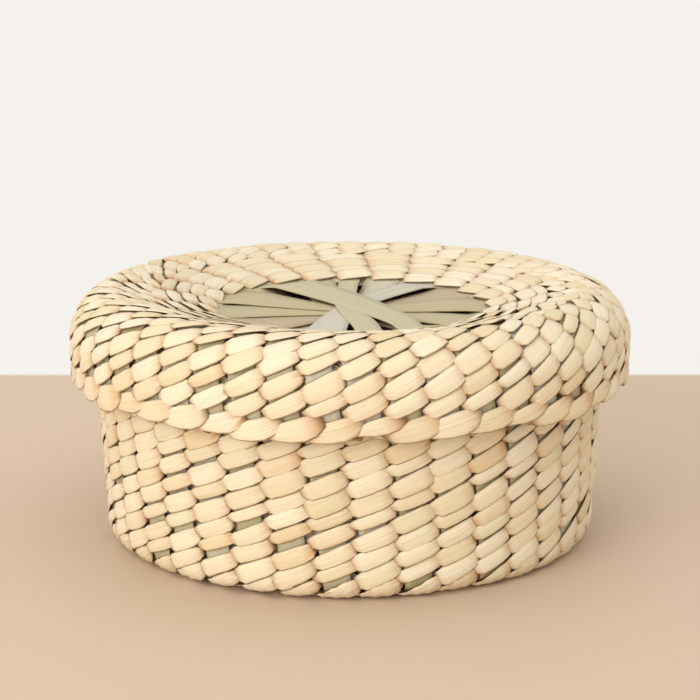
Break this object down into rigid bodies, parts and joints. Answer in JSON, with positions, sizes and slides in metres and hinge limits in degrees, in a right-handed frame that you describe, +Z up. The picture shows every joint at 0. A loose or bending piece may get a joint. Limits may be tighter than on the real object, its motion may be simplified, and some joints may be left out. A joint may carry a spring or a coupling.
{
  "type": "tortilla warmer",
  "caption": "Round basket twined from flat palm leaf, with a rounded lift-off lid that overlaps its wall, for keeping tortillas warm",
  "frame": {"origin": "centre of the flat face that the basket stands on", "axes": "+Z up, the axis of the round basket and of its lid; +X to the right and -Y towards the viewer in the picture"},
  "size_m": [0.22, 0.22, 0.0982],
  "materials": {
    "palm_weft": "dry pale cream palm leaf, satin, finely veined, with brown edges",
    "palm_stake": "dry sage green palm leaf strips, satin, finely veined"
  },
  "bodies": {
    "basket": {"base_strips": "palm_stake", "wall_stakes": "palm_stake", "rim_border": "palm_weft", "base_round_1": "palm_weft", "base_round_2": "palm_weft", "base_round_3": "palm_weft", "base_round_4": "palm_weft", "base_round_5": "palm_weft", "base_round_6": "palm_weft", "wall_round_1": "palm_weft", "wall_round_2": "palm_weft", "wall_round_3": "palm_weft", "wall_round_4": "palm_weft", "wall_round_5": "palm_weft", "wall_round_6": "palm_weft", "wall_round_7": "palm_weft", "wall_round_8": "palm_weft", "wall_round_9": "palm_weft", "wall_round_10": "palm_weft", "wall_round_11": "palm_weft", "wall_round_12": "palm_weft"},
    "lid": {"lid_strips": "palm_stake", "lid_stakes": "palm_stake", "lid_border": "palm_weft", "lid_top_round_1": "palm_weft", "lid_top_round_2": "palm_weft", "lid_top_round_3": "palm_weft", "lid_top_round_4": "palm_weft", "lid_side_round_1": "palm_weft", "lid_side_round_2": "palm_weft", "lid_side_round_3": "palm_weft", "lid_side_round_4": "palm_weft", "lid_side_round_5": "palm_weft", "lid_side_round_6": "palm_weft", "lid_side_round_7": "palm_weft"}
  },
  "joints": [
    {"name": "lid_lift", "type": "slide", "parent": "basket", "child": "lid", "axis": [0, 0, 1], "range_m": [0, 0.08]}
  ]
}
